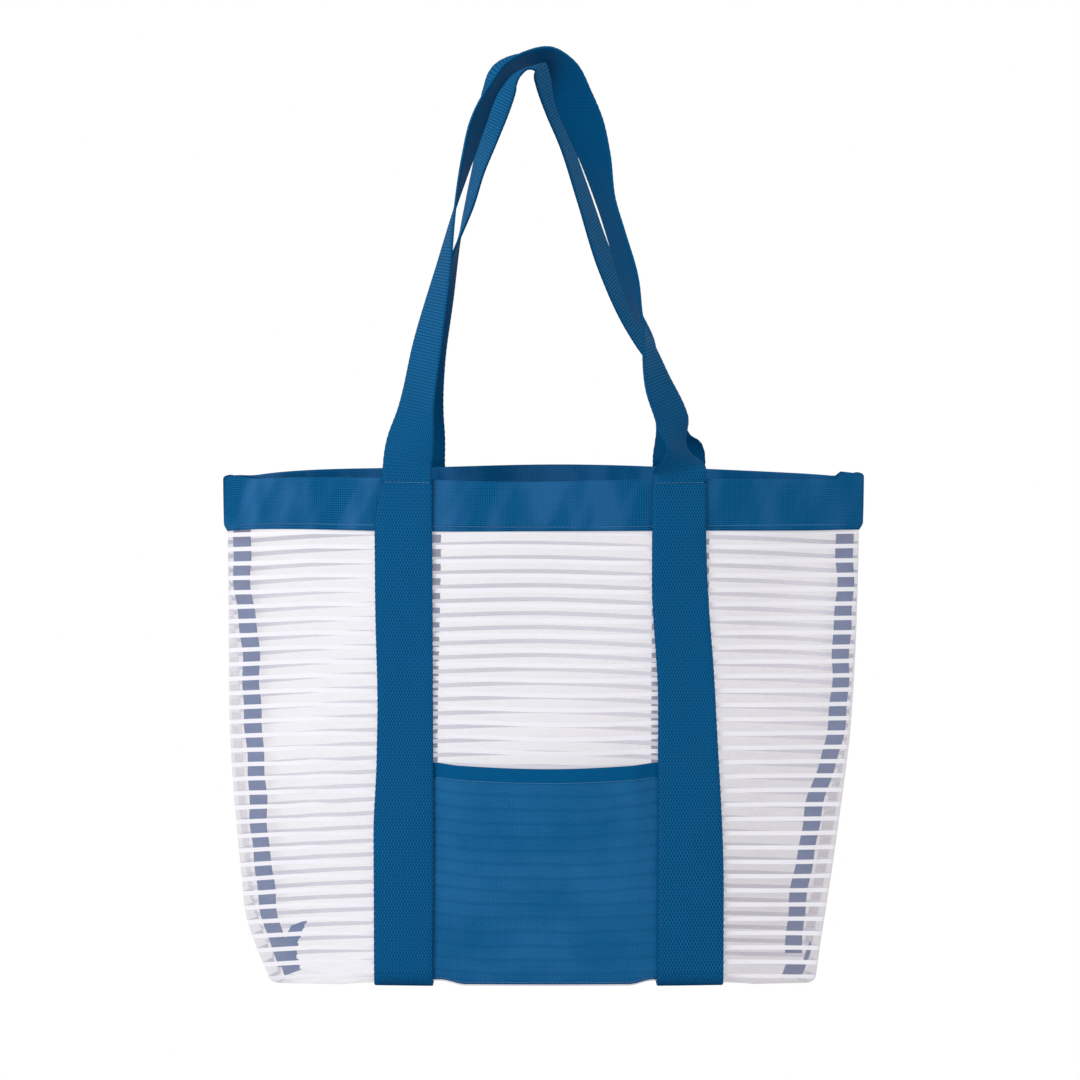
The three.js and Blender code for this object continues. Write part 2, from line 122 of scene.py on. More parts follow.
def level(z, off, right):
    """The outline at height z, offset by off: half its width, its depth in the middle and at the
    corner, and how far the seam folds in. The half width goes from base to mouth by a power of
    the height, with a bell of fullness on it; the depths go from base to waist to mouth in soft
    steps. right is true on the bag's right half."""
    rise = np.maximum(z, BASE_TOP)
    share = np.clip(rise / RIM, 0, 1)
    taper = zip(HALF_BASE, TAPER)
    left, half = (HALF_MOUTH + (base - HALF_MOUTH) * (1 - share) ** bend for base, bend in taper)
    left = left - NIP * np.maximum(0, 1 - rise / NIP_TOP) ** NIP_BEND
    full = side_of(right, FULLNESS) * bump(z, FULL_AT, FULL_SPREAD)
    half = np.where(right, half, left) + full
    upper = WAIST_DEPTH + (MOUTH_DEPTH - WAIST_DEPTH) * smooth(WAIST[1], 1, share)
    centre = upper + (BASE_DEPTH - upper) * smooth(WAIST[0], 0, share)
    corner = CORNER_DEPTH * (1 - share**CORNER_BEND)
    tip = smooth(TIP_FROM, 0, corner)
    top = side_of(right, FOLD_TOP)
    fold = side_of(right, FOLD) * smooth(top, top - side_of(right, FOLD_FADE), share)
    fold = fold * smooth(-0.1, 0.12, share) + full
    half = half + off * (1 + (TIP_GROWTH - 1) * tip)
    return half, centre + off, np.maximum(0, corner + off * (1 - tip)), fold


def fold_group(x, z, deep, at, spread, pitch, lean, phase):
    """Leaning folds: a sine of the height, leant across the bag, under a bell about x = at."""
    return deep * bump(x, at, spread) * np.sin((z + lean * x) / pitch + phase)


def ease(x, z, facing):
    """How far a standing wall's folds come out (+) or go in (-): the groups above on a broad
    ripple, quiet where the webbing holds the net flat and towards the base and the band."""
    quiet = 1 - bump(np.abs(x), 0.092, 0.026)
    up = smooth(0.02, 0.07, z) * smooth(0.33, 0.27, z)
    folds = fold_group(x, z, *CREASES) * bump(z, CREASES_AT, CREASES_SPREAD)
    folds = folds + sum(fold_group(x, z, *one) for one in FOLDS)
    folds = folds + RIPPLE * np.sin(x / 0.023 + 1.3) * np.sin(z / 0.037 + facing * 2)
    return folds * quiet * up


def wall_depth(x, z, off, facing=-1):
    """Distance of the front or back wall from the middle plane: a shallow arc, and its folds."""
    half, centre, corner, _ = level(z, off, x > 0)
    depth = corner + (centre - corner) * (1 - (x / half) ** 2)
    return depth + ease(x, z, facing)


def sink(x, z):
    """How far a place hangs below its level: the mouth's ends droop by a power of the distance
    from the middle, and the net sags to the ground on each side of the webbing under its base."""
    right = x > 0
    droop = side_of(right, DROOP) * (np.abs(x) / HALF_MOUTH) ** side_of(right, DROOP_BEND)
    held = np.maximum(*(smooth(free, fast, np.abs(x - middle)) for middle, fast, free in HELD))
    return droop * smooth(0.0, 0.2, z) + SAG * (1 - held) * smooth(0.035, 0.004, z)


ARC, CORNER, GUSSET = 56, 10, 8  # steps along a quarter of the outline


def quarter(z, off, right, facing):
    """A quarter of the outline at height z, from the middle of a wall round the corner to the
    side seam: the arc, a quadratic turn about the corner and the folded gusset."""
    half, centre, corner, fold = level(z, off, right)
    end = half - CORNER_ROUND
    t = np.linspace(0, 1, ARC + 1)
    sign = 1 if right else -1
    x = end * t
    y = corner + (centre - corner) * (1 - (x / half) ** 2)
    y = y + ease(sign * x, z, facing) * smooth(1, 0.92, t)
    seam = half - fold
    run = math.hypot(fold, corner)
    turn = 1 / (1 + run / CORNER_ROUND)
    turn_x, turn_y = half + (seam - half) * turn, corner * (1 - turn)
    t = np.linspace(0, 1, CORNER + 1)[1:]
    corner_x = (1 - t) ** 2 * end + 2 * t * (1 - t) * half + t * t * turn_x
    corner_y = (1 - t) ** 2 * y[-1] + 2 * t * (1 - t) * corner + t * t * turn_y
    t = np.linspace(0, 1, GUSSET + 1)[1:]
    gusset_x, gusset_y = turn_x + (seam - turn_x) * t, turn_y * (1 - t)
    across = np.concatenate([x, corner_x, gusset_x]) * sign
    return across, np.concatenate([y, corner_y, gusset_y]) * facing


def half_ring(z, off, facing):
    """Half of the outline, left seam to right seam, as an array of points."""
    left_x, left_y = quarter(z, off, False, facing)
    right_x, right_y = quarter(z, off, True, facing)
    x = np.concatenate([left_x[::-1], right_x[1:]])
    y = np.concatenate([left_y[::-1], right_y[1:]])
    return np.stack([x, y, z - sink(x, z)], axis=-1)


def seam_x(z, off, right):
    """Where a side seam lies across the bag, without its sign."""
    half, _, _, fold = level(z, off, right)
    return half - fold


def lengths(points, axis=0):
    """Distance run along a grid of points, from its first row (or column)."""
    step = np.linalg.norm(np.diff(points, axis=axis), axis=-1)
    start = np.zeros_like(np.take(step, [0], axis=axis))
    return np.concatenate([start, np.cumsum(step, axis=axis)], axis=axis)


def grid_mesh(name, grids, uvs, closed=False, flip=False):
    """One mesh from grids of points of shape (rows, columns, 3), with a UV grid in metres for
    each. closed joins a grid's last column to its first, and flip turns its faces round."""
    verts, faces, loops = [], [], []
    start = 0
    for points, uv in zip(grids, uvs):
        rows, columns = points.shape[:2]
        index = np.arange(rows * columns).reshape(rows, columns) + start
        if closed:
            index = np.concatenate([index, index[:, :1]], axis=1)
            uv = np.concatenate([uv, uv[:, -1:] * 2 - uv[:, -2:-1]], axis=1)
        quad = [index[:-1, :-1], index[:-1, 1:], index[1:, 1:], index[1:, :-1]]
        corner = [uv[:-1, :-1], uv[:-1, 1:], uv[1:, 1:], uv[1:, :-1]]
        if flip:
            quad, corner = quad[::-1], corner[::-1]
        verts.append(points.reshape(-1, 3))
        faces.append(np.stack(quad, axis=-1).reshape(-1, 4))
        loops.append(np.stack(corner, axis=-2).reshape(-1, 2))
        start += rows * columns
    verts, faces, loops = (np.concatenate(a) for a in (verts, faces, loops))
    mesh = bpy.data.meshes.new(name)
    mesh.vertices.add(len(verts))
    mesh.vertices.foreach_set("co", verts.ravel())
    mesh.loops.add(faces.size)
    mesh.loops.foreach_set("vertex_index", faces.ravel())
    mesh.polygons.add(len(faces))
    mesh.polygons.foreach_set("loop_start", np.arange(0, faces.size, 4))
    mesh.polygons.foreach_set("loop_total", np.full(len(faces), 4))
    mesh.uv_layers.new(name="UVMap")
    mesh.uv_layers[0].data.foreach_set("uv", loops.ravel())
    mesh.update(calc_edges=True)
    mesh.validate()
    piece = bpy.data.objects.new(name, mesh)
    bpy.context.scene.collection.objects.link(piece)
    return piece


def weld(piece, distance=2e-5):
    """Joins points that coincide, such as the two sides of a seam, and turns the faces out."""
    work = bmesh.new()
    work.from_mesh(piece.data)
    bmesh.ops.remove_doubles(work, verts=work.verts, dist=distance)
    bmesh.ops.recalc_face_normals(work, faces=work.faces)
    work.to_mesh(piece.data)
    work.free()


def finish(piece, material, body="bag"):
    """Shades a piece smooth, gives it its material and fixes it to its body, if it has one."""
    piece.data.shade_smooth()
    piece.data.materials.clear()
    piece.data.materials.append(material)
    if body:
        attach(piece, body)


def thicken(piece, wall, offset=-1.0):
    """A live Solidify: the cloth's thickness, inwards from the modelled face at offset -1."""
    solid = piece.modifiers.new("wall", "SOLIDIFY")
    solid.thickness = wall
    solid.offset = offset
    solid.use_even_offset = False


BASE_ROWS, TURN_ROWS, WALL_ROWS = 9, 11, 112  # rows of the base, of its rounded edge, of a wall
BASE_REACH = 0.95  # the share of the flat base's half that its rows cover


def net_half(facing):
    """The front or back half of the net, in rows from the middle of the base to the mouth: the
    flat base, the quarter turn of its edge and the wall."""
    edge = half_ring(BASE_LIFT, -BASE_ROUND, facing)
    rows = [edge * [share, share, 1] for share in np.linspace(0, BASE_REACH, BASE_ROWS)]
    for angle in np.linspace(0, math.pi / 2, TURN_ROWS):
        ring = half_ring(BASE_LIFT, BASE_ROUND * math.sin(angle) - BASE_ROUND, facing)
        ring[:, 2] += BASE_ROUND * (1 - math.cos(angle))
        rows.append(ring)
    for z in np.linspace(BASE_TOP, NET_TOP, WALL_ROWS)[1:]:
        rows.append(half_ring(z, 0.0, facing))
    return np.stack(rows)


STRIPE = 0.00936  # from one dense band of the net to the next
STRIPE_SHARE = 0.31  # how much of that is dense
STRIPE_BLUR = 0.02  # the softness of its edges, as a share of the repeat
WARP, WEFT = 0.0016, 0.0013  # one repeat of the net's own threads, across and down

# How far the bands of the weave hang below level, in millimetres, at places across the front and
# the back, as the cut and the seams left them.
BOW_AT = (-205, -150, -90, -30, 0, 40, 90, 110, 154, 205)
BOW = (
    (7.4, 2.8, 1.6, 0.9, 1.3, 2.2, 2.4, 1.8, 3.2, 5.1),
    (3.6, 1.9, 1.0, -0.1, -0.2, 0.9, 2.9, 3.8, 3.9, 4.4),
)
DRIFT = (0.0010, -0.0026)  # how the front's middle rides up, under the band and lower down
DRIFT_SPREAD, DRIFT_RUN = 0.08, 0.13
GUSSET_SLANT = 0.128  # slope of the weave on the gussets, towards the seam


def bow(x, facing):
    """The bow of the weave across a wall."""
    return np.interp(x, np.array(BOW_AT) / 1000, np.array(BOW[facing > 0]) / 1000)


def net_uv(points, facing):
    """Across: the distance along the ring from its middle. Down: the height below the band's
    foot, less the bow of the weave, with the front's drift and the gussets' slant; round the
    base's edge it runs on by the distance, and the flat base lies within one open band."""
    across = lengths(points, axis=1)
    across = across - across[:, across.shape[1] // 2][:, None]
    x, y, z = np.moveaxis(points, -1, 0)
    down = BAND_FOOT - z - bow(x, facing)
    if facing < 0:
        drift = DRIFT[0] + (DRIFT[1] - DRIFT[0]) * smooth(0.0, DRIFT_RUN, down)
        down = down + bump(x, 0.0, DRIFT_SPREAD) * drift
    side = GUSSET + CORNER
    column = np.arange(points.shape[1])
    gusset = (column < side) | (column >= points.shape[1] - side)
    edge = np.abs(y[:, [side, -side - 1]]).mean(axis=1)[:, None]
    down = down + GUSSET_SLANT * facing * np.where(gusset, np.maximum(0, edge - np.abs(y)), 0)
    first = BASE_ROWS + TURN_ROWS - 1
    run = lengths(points[: first + 1][::-1], axis=0)[::-1]
    below = down[first][None, :] + run
    down[:first] = below[:first]
    down[:BASE_ROWS] = (np.round(down[BASE_ROWS].mean() / STRIPE) + 0.5) * STRIPE
    return np.stack([across, down], axis=-1)


def node(tree, kind, **settings):
    """A shader node with its settings and its inputs' values."""
    made = tree.nodes.new(kind)
    for key, value in settings.items():
        if key in made.inputs:
            made.inputs[key].default_value = value
        else:
            setattr(made, key, value)
    return made


def feed(tree, slots, values):
    """Gives each socket its value: a field, a colour or a number."""
    for slot, value in zip(slots, values):
        if isinstance(value, Field):
            tree.links.new(value.socket, slot)
        elif isinstance(value, tuple):
            slot.default_value = (*value, 1)
        else:
            slot.default_value = value


class Field:
    """A value that changes over the cloth. It is reckoned with like a number, so that a pattern
    reads as its formula."""

    def __init__(self, tree, socket):
        self.tree = tree
        self.socket = socket

    def maths(self, operation, *values):
        """The result of a Math node on this field and the values."""
        made = node(self.tree, "ShaderNodeMath", operation=operation)
        feed(self.tree, made.inputs, (self, *values))
        return Field(self.tree, made.outputs[0])

    def __add__(self, other):
        return self.maths("ADD", other)

    def __sub__(self, other):
        return self.maths("SUBTRACT", other)

    def __rsub__(self, other):
        return self.maths("MULTIPLY_ADD", -1.0, other)

    def __mul__(self, other):
        return self.maths("MULTIPLY", other)

    def __truediv__(self, other):
        return self.maths("DIVIDE", other)

    def __abs__(self):
        return self.maths("ABSOLUTE")

    __radd__ = __add__
    __rmul__ = __mul__

    def over(self, limit):
        """1 where it is more than limit and 0 elsewhere."""
        return self.maths("GREATER_THAN", limit)

    def wave(self, pitch):
        """Its sine, with one turn to each pitch."""
        return (self * (2 * math.pi / pitch)).maths("SINE")

    def from_middle(self, start=0.0):
        """How far it is from the middle of its repeat of 1, the repeats being moved by start."""
        return abs((self + (1000.0 + start)).maths("FRACT") - 0.5)

    def step(self, low, high):
        """The soft step from 0 at low to 1 at high."""
        made = node(self.tree, "ShaderNodeMapRange", interpolation_type="SMOOTHSTEP")
        inputs = [made.inputs[name] for name in ("Value", "From Min", "From Max")]
        feed(self.tree, inputs, (self, low, high))
        return Field(self.tree, made.outputs["Result"])


def mix(share, first, second):
    """A blend of two colours, all first at share 0 and all second at share 1."""
    made = node(share.tree, "ShaderNodeMix", data_type="RGBA")
    feed(share.tree, [made.inputs[i] for i in (0, 6, 7)], (share, first, second))
    return Field(share.tree, made.outputs[2])


def noise(scale, detail, x, y=0.0, z=0.0):
    """Soft random values over the cloth, at the place x, y, z."""
    place = node(x.tree, "ShaderNodeCombineXYZ")
    feed(x.tree, place.inputs, (x, y, z))
    made = node(x.tree, "ShaderNodeTexNoise", Scale=scale, Detail=detail)
    x.tree.links.new(place.outputs[0], made.inputs["Vector"])
    return Field(x.tree, made.outputs["Fac"])


def srgb(red, green, blue):
    """A colour in linear light from its 8-bit values on screen."""
    def linear(v):
        v /= 255
        return v / 12.92 if v <= 0.04045 else ((v + 0.055) / 1.055) ** 2.4
    return linear(red), linear(green), linear(blue)


def group(name, labels, pattern):
    """A node group that reads the piece's UV map, in metres, and puts out what the pattern makes
    of it: one colour, labelled Colour, and values."""
    tree = bpy.data.node_groups.new(name, "ShaderNodeTree")
    for label in labels:
        kind = "NodeSocketColor" if label == "Colour" else "NodeSocketFloat"
        tree.interface.new_socket(label, in_out="OUTPUT", socket_type=kind)
    uv = node(tree, "ShaderNodeUVMap", uv_map="UVMap")
    split = node(tree, "ShaderNodeSeparateXYZ")
    tree.links.new(uv.outputs[0], split.inputs[0])
    out = node(tree, "NodeGroupOutput")
    feed(tree, out.inputs, pattern(Field(tree, split.outputs[0]), Field(tree, split.outputs[1])))
    return tree


def material(name, pattern, links, **values):
    """A Principled material fed by a pattern group. links maps its inputs to the group's outputs,
    Bump with its height in metres too, and values holds its constants."""
    made = bpy.data.materials.new(name)
    made.use_nodes = True
    tree = made.node_tree
    shader = tree.nodes["Principled BSDF"]
    for key, value in values.items():
        shader.inputs[key].default_value = value
    source = node(tree, "ShaderNodeGroup", node_tree=pattern)
    for target, label in links.items():
        if target == "Bump":
            raised = node(tree, "ShaderNodeBump", Strength=0.6, Distance=label[1])
            tree.links.new(source.outputs[label[0]], raised.inputs["Height"])
            tree.links.new(raised.outputs[0], shader.inputs["Normal"])
        else:
            tree.links.new(source.outputs[label], shader.inputs[target])
    return made


NET_PALE, NET_BRIGHT = srgb(214, 209, 219), srgb(230, 227, 235)  # the open ground's two tones
# the colour of the painted shade on the open ground
NET_SHADED = srgb(188, 181, 189)
NET_DENSE = srgb(232, 230, 236)
OPEN_COVER = 0.245  # how much of what lies behind the open ground hides
SHADED_COVER = 0.15  # and how much more where shade is painted on
DENSE_COVER = 0.975


def net_pattern(u, v):
    """Dense white bands across the open ground: the share of a repeat that lies near its middle.
    The ground carries painted shade: it is greyer and hides more of what lies behind to the right
    and lower down, and on the left gusset. Its threads and slubs let more or less of it through."""
    dense = (v / STRIPE).from_middle(0.5).step(STRIPE_SHARE / 2 + STRIPE_BLUR, STRIPE_SHARE / 2 - STRIPE_BLUR)
    threads = u.wave(WARP) * v.wave(WEFT)
    slubs = (noise(60, 3, u, v * 3.0) - 0.5) * 0.12
    patches = (noise(14, 2, u, v) - 0.5) * 0.5
    shade = u.step(-0.10, 0.16) * (0.5 + v.step(0.0, 0.28) * 0.5)
    past_edge = abs(u) - (0.192 - v * 0.09)
    shade = shade + past_edge.step(-0.003, 0.004) * (1.0 - shade) * 0.45
    cover = OPEN_COVER + shade * SHADED_COVER + threads * 0.03 + slubs
    ground = mix(shade, mix(0.5 + patches, NET_PALE, NET_BRIGHT), NET_SHADED)
    return mix(dense, ground, NET_DENSE), cover.maths("MAXIMUM", dense * DENSE_COVER)


# The net glows a little in its own colour: painted light, standing in for the light that passes through the
# thin cloth from behind.
NET = material(
    "sheer net",
    group("net pattern", ("Colour", "Alpha"), net_pattern),
    {"Base Color": "Colour", "Alpha": "Alpha", "Emission Color": "Colour"},
    **{"Roughness": 0.8, "Specular IOR Level": 0.1, "Emission Strength": 0.22},
)

halves = [net_half(facing) for facing in (-1, 1)]
net = grid_mesh("net_bag", halves, [net_uv(half, facing) for half, facing in zip(halves, (-1, 1))])
weld(net)
finish(net, NET)
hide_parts("mesh_bag")


# --------------------
# The band: blue plain-woven cloth folded over the net's raw upper edge, one length to each wall,
# joined in the side seams. Its lower edges are held by one row of stitches through all layers.
BAND_WALL = 0.0007
BAND_OUT = 0.0004  # the band's inner surface from the net's outer face
BAND_SPAN = 0.0031  # across the fold, outer layer to inner layer
TIP_GAP = 0.00015  # each band's end to the middle plane
BAND_DOTS = 0.003  # one repeat of its twill
# The band's ground, its painted highlight and its twill's dots.
BAND_DARK, BAND_PAINTED_SHEEN, BAND_LIGHT = srgb(0, 81, 130), srgb(46, 104, 160), srgb(50, 130, 182)
BLUE_CLOTH = {"Roughness": 0.8, "Specular IOR Level": 0.03}


def twill(u, v, cell, low, high):
    """Dots where two sets of slanting threads cross: a soft step on the product of their sines."""
    return ((u + v).wave(cell) * (u - v).wave(cell)).step(low, high)


def band_pattern(u, v):
    """A fine twill of light dots on a darker ground, with broad upright patches of painted highlight
    where the cloth is seen more or less end on, brighter to the left."""
    dots = twill(u, v, BAND_DOTS, -0.2, 0.9)
    upright = noise(38, 1.5, u, v * 0.35)
    leaning = noise(70, 2, u + v * 0.5, 0.0, 3.0)
    # painted highlight in broad upright patches, stronger to the left
    painted_sheen = (upright * 0.7 + leaning * 0.3).step(0.40, 0.62) * (0.45 + u.step(0.12, -0.2) * 0.55)
    return mix(dots * 0.45, mix(painted_sheen, BAND_DARK, BAND_PAINTED_SHEEN), BAND_LIGHT), dots


BAND = material(
    "band cloth",
    group("band pattern", ("Colour", "Height"), band_pattern),
    {"Base Color": "Colour", "Bump": ("Height", 0.00015)},
    **BLUE_CLOTH,
)


def band_profile():
    """The band's section as (offset, height) pairs: up the outer layer, half a circle over the
    fold and down the inner layer."""
    radius = BAND_SPAN / 2
    crown = RIM - radius
    outer = [(radius, z) for z in np.linspace(BAND_FOOT, crown, 16)]
    turns = np.linspace(0, math.pi, 9)[1:-1]
    fold = [(radius * math.cos(a), crown + radius * math.sin(a)) for a in turns]
    return outer + fold + [(-radius, z) for z in np.linspace(crown, BAND_FOOT, 10)]


def band_points(facing):
    """The section carried along half the outline. The cloth waves in and out and up and down by a
    few sines that die away towards the seams, and its ends lift and draw in a little there."""
    middle = BAND_OUT - BAND_SPAN / 2 + BAND_WALL
    rows = []
    for off, z in band_profile():
        ring = half_ring(z, middle + off, facing)
        x = ring[:, 0]
        up = (z - BAND_FOOT) / (RIM - BAND_FOOT)
        wave = np.sin(x / 0.0105 + 1.7 * up + facing) * np.sin(x / 0.037 + 0.6) * math.sin(math.pi * up)
        wave = 0.0007 * wave + 0.0004 * np.sin(x / 0.021 + 3 * up)
        inside = smooth(HALF_MOUTH, HALF_MOUTH - 0.03, np.abs(x))
        ring[:, 1] += facing * wave * inside
        ring[:, 1] = facing * np.maximum(TIP_GAP + BAND_WALL / 2, facing * ring[:, 1])
        ring[:, 2] += 0.0006 * np.sin(x / 0.031 + facing) * smooth(0.2, 1, up) * inside
        ring[:, 2] += 0.0005 * np.sin(x / 0.047 + 1) * smooth(0.5, 0, up) * inside
        ring[:, 2] += 0.0034 * smooth(0.1915, 0.1932, x) * smooth(0.3, 1, up)
        ring[:, 2] += 0.0024 * smooth(-0.186, -0.203, x) * smooth(0.3, 1, up)
        low = smooth(0.16, 0.0, up) ** 2
        ring[:, 0] -= np.sign(x) * 0.0022 * smooth(0.1985, 0.2078, np.abs(x)) * low
        rows.append(ring)
    return np.stack(rows)


def sheet_uv(points):
    """Across from the middle and down from the first row, both along the cloth, in metres."""
    across = lengths(points, axis=1)
    across = across - across[:, across.shape[1] // 2][:, None]
    return np.stack([across, -lengths(points, axis=0)], axis=-1)


for place, facing in (("front", -1), ("back", 1)):
    points = band_points(facing)
    band = grid_mesh(f"{place}_band_cloth", [points], [sheet_uv(points)], flip=facing > 0)
    thicken(band, BAND_WALL)
    finish(band, BAND)
    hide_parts(f"band_{place}")


# --------------------
# The straps: flat ribbed webbing, one run on each side, sewn on from the front band down, under
# the base and up to the back band. Above the band the same webbing goes on as the handles.
WEBBING_WIDTH = 0.038
WEBBING_WALL = 0.0018
STRAP_OFF = 0.0016  # webbing's inner face from the net
STRAP_ON_BAND = 0.0021
STRAP_END = RIM - 0.0015  # where the strap hands over to the handle
STRAP_ROW = 0.0008  # from one ring of a strap's mesh to the next, down a wall
RIB = 0.0040  # one repeat of the weave along the webbing
RIB_SWELL = 0.006  # how far the ribs' ends stand out, as a share of the width
RIB_SHARE = 0.2  # how much of the look is ribs, the rest being floats
COLUMN = 0.00092  # from one column of floats to the next
INNER_U = 0.05  # where u starts on the webbing's inner face
WEBBING_DARK, WEBBING_MID, WEBBING_LIGHT = srgb(0, 73, 121), srgb(0, 80, 131), srgb(40, 126, 180)
INNER_DARK, INNER_LIGHT = srgb(0, 73, 118), srgb(0, 83, 132)


def webbing_pattern(u, v, ribs):
    """Short upright floats in columns, each column half a repeat on from the last, with ribs across
    them by the share given, on the outer face; a plain face with faint slanting lines on the
    inner one. On the handles that share rises towards the crown as painted highlight."""
    column = u / COLUMN
    odd = (column + 1000.0).maths("FLOOR").maths("MODULO", 2.0)
    side = column.from_middle()
    floats = (v / RIB + odd * 0.5).from_middle().step(0.30, 0.14) * side.step(0.32, 0.06)
    rows = (v / (RIB / 2)).from_middle().step(0.4, 0.05) * (0.6 + side.step(0.4, 0.1) * 0.4)
    lines = ((v + u * 0.35).wave(0.0024) + 1.0) * 0.22
    inner = u.over(INNER_U - 0.005)
    raised = floats * (1.0 - ribs) + rows * ribs
    mask = raised * (1.0 - inner) + lines * inner
    outer = mix(mask, mix(noise(45, 2, u, v * 0.6), WEBBING_DARK, WEBBING_MID), WEBBING_LIGHT)
    return mix(inner, outer, mix(mask, INNER_DARK, INNER_LIGHT)), mask


WEBBING_GLOSS = {"Roughness": 0.65, "Specular IOR Level": 0.03}
WEBBING = material(
    "webbing",
    group("webbing pattern", ("Colour", "Height"), lambda u, v: webbing_pattern(u, v, RIB_SHARE)),
    {"Base Color": "Colour", "Bump": ("Height", 0.0003)},
    **WEBBING_GLOSS,
)


def front_edges(z, right):
    """Inner and outer edge of a front strap at height z, in soft steps and bells: it widens on
    its way down, and on the left it turns a little towards the mouth and looks narrower."""
    if right:
        inner = 0.0694 + 0.0044 * smooth(0.27, 0.185, z)
        outer = 0.1042 + 0.0128 * smooth(0.31, 0.06, z) + 0.0010 * bump(z, 0.21, 0.04)
        return inner, outer
    inner = -0.0712 - 0.0008 * smooth(0.1, 0.0, z)
    outer = -0.1084 + 0.0052 * smooth(0.305, 0.336, z) + 0.0012 * bump(z, 0.19, 0.04)
    return inner, outer - 0.0018 * smooth(0.15, 0.1, z)


def back_edges(z, right):
    """The same for a back strap."""
    if right:
        return 0.0717 + 0 * z, 0.1093 - 0.0026 * smooth(0.30, RIM, z)
    inner = -0.0677 - 0.0026 * smooth(0.3, 0.14, z) + 0.0030 * smooth(0.31, RIM, z)
    return inner, inner - WEBBING_WIDTH


def section(columns=13, flat=0.965, thin=0.45):
    """The outline of flat webbing: (across, through) pairs, in halves of the width and wall. The
    faces are flat to the share given, and the wall is thin at the edges."""
    face = np.linspace(-flat, flat, columns)
    outer = np.stack([face, np.ones(columns)], axis=-1)
    inner = np.stack([face[::-1], -np.ones(columns)], axis=-1)
    return np.concatenate([outer, [[1, thin], [1, -thin]], inner, [[-1, -thin], [-1, thin]]])


SECTION = section()
ACROSS, THROUGH = SECTION[:, 0], SECTION[:, 1]


def webbing_uv(run):
    """u across each face, the inner face starting at INNER_U, and v along the run."""
    u = (ACROSS + 1) * WEBBING_WIDTH / 2 + np.where(THROUGH > 0, 0, INNER_U)
    return np.stack(np.broadcast_arrays(u[None, :], run[:, None]), axis=-1)


def strap_side(facing, edges, right):
    """Rings of webbing down a wall and a quarter turn round the base's edge. The ribs' ends swell
    the width by a sine, and the webbing stands off further where it lies on the band."""
    rings = []
    wall = WEBBING_WALL / 2 * (1 + THROUGH)
    for z in np.arange(STRAP_END, BASE_TOP, -STRAP_ROW):
        inner, outer = edges(z, right)
        lift = STRAP_OFF + (STRAP_ON_BAND - STRAP_OFF) * smooth(BAND_FOOT - 0.008, BAND_FOOT - 0.001, z)
        swell = 1 + RIB_SWELL * math.sin(z * 2 * math.pi / RIB)
        x = (inner + outer) / 2 + abs(outer - inner) / 2 * ACROSS * swell
        depth = wall_depth(x, z, lift, facing) + wall
        rings.append(np.stack([x, facing * depth, z - sink(x, z)], axis=-1))
    inner, outer = edges(BASE_TOP, right)
    radius = BASE_ROUND + STRAP_OFF + wall
    for angle in np.linspace(0, math.pi / 2, 22):
        x = (inner + outer) / 2 + abs(outer - inner) / 2 * ACROSS * (1 + RIB_SWELL * math.sin(18 * angle))
        depth = wall_depth(x, BASE_TOP, -BASE_ROUND, facing) + radius * math.cos(angle)
        z = BASE_TOP - radius * math.sin(angle) - sink(x, BASE_LIFT)
        rings.append(np.stack([x, facing * depth, z], axis=-1))
    return np.stack(rings)


def strap_points(right):
    """Rings of webbing down the front wall, straight under the base and up the back wall."""
    front = strap_side(-1, front_edges, right)
    back = strap_side(1, back_edges, right)[::-1]
    bridge = [front[-1] + (back[0] - front[-1]) * t for t in np.linspace(0, 1, 40)[1:-1]]
    points = np.concatenate([front, np.stack(bridge), back])
    points[..., 2] = np.maximum(points[..., 2], 0.0)
    return points


def close_ends(points):
    """Draws the first and last ring in to a thin line, so that the webbing's ends are shut."""
    ends = []
    for ring in (points[0], points[-1]):
        mirror = np.arange(len(ring) - 3, -3, -1) % len(ring)
        ends.append((ring + ring[mirror]) / 2)
    return np.concatenate([ends[0][None], points, ends[1][None]])


def webbing_piece(name, points):
    """A closed piece of webbing through rings of points."""
    points = close_ends(points)
    run = lengths(points.mean(axis=1), axis=0)
    piece = grid_mesh(name, [points], [webbing_uv(run)], closed=True)
    weld(piece)
    return piece


for place, right in (("left", False), ("right", True)):
    strap = webbing_piece(f"{place}_strap_webbing", strap_points(right))
    finish(strap, WEBBING)
    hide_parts(f"strap_{place}")


# --------------------
# The handles: the straps' webbing carried on above the band as two tall loops. Each lies flat on
# the band, turns on edge on its way up and shows its other face over the crown.
HANDLE_RISE = 0.274
HANDLE_LENGTH = 0.60  # along a handle, foot to foot
HANDLE_RINGS = 1000
FOOT_DEPTH, CROWN_DEPTH = 0.0405, 0.021  # from the middle plane, at the feet and at the crown
LEAN_BEND = 1.5  # power of the curve between the two
FOOT_TOP = RIM + 0.006  # a handle lies flat up to here
CROWN_RIB_HIGHLIGHT = 0.45  # how much more of the look is ribs, away from the feet: painted highlight on the ribs
